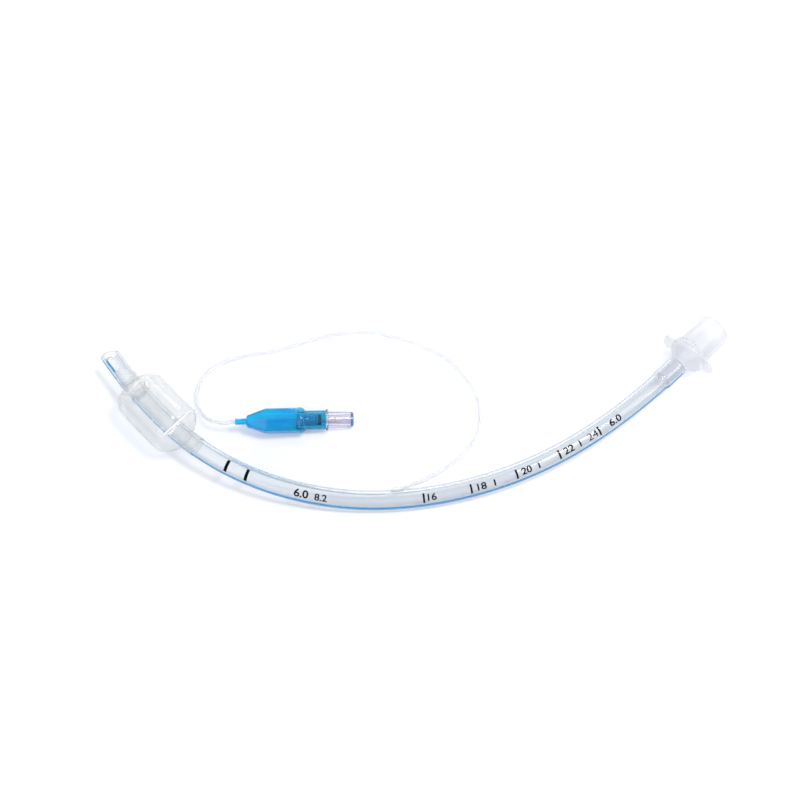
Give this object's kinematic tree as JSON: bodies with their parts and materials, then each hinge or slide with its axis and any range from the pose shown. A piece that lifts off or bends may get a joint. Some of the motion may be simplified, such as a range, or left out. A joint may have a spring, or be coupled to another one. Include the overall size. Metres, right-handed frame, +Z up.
{
  "type": "endotracheal tube",
  "caption": "Curved clear breathing tube with an inflatable cuff, a 15 mm connector with grip ears, and an inflation line to a pilot balloon with a spring valve.",
  "frame": {"origin": "bottom centre of the tube, cuff and connector, on the surface that they lie on", "axes": "+X along the connector's axis, out of its open end; +Z up; +Y to the left, towards the tube's tip"},
  "size_m": [0.2101, 0.194, 0.023],
  "materials": {
    "clear_pvc": "clear, soft shine",
    "cuff_film": "clear thin film",
    "milky_plastic": "milky, slightly see-through",
    "clear_line": "clear, soft shine",
    "blue_film": "bright blue, see-through",
    "clear_plastic": "clear, polished",
    "white_plastic": "moulded",
    "spring_steel": "bright wire",
    "black_rubber": "matte",
    "cream_plastic": "moulded"
  },
  "bodies": {
    "root": {"tube": "clear_pvc", "cuff": "cuff_film", "connector": "milky_plastic", "inflation_line": "clear_line", "pilot_balloon": "blue_film", "valve_body": "clear_plastic", "valve_retainer": "white_plastic", "valve_spring": "spring_steel"},
    "valve_plunger": {"valve_seal": "black_rubber", "valve_stem": "cream_plastic"}
  },
  "joints": [
    {"name": "valve_push", "type": "slide", "parent": "root", "child": "valve_plunger", "axis": [-0.7434, 0.6624, 0.0923], "range_m": [0, 0.0015], "stiffness_N_per_m": 400, "springref_m": -0.0015, "deforming": ["valve_spring"]}
  ]
}
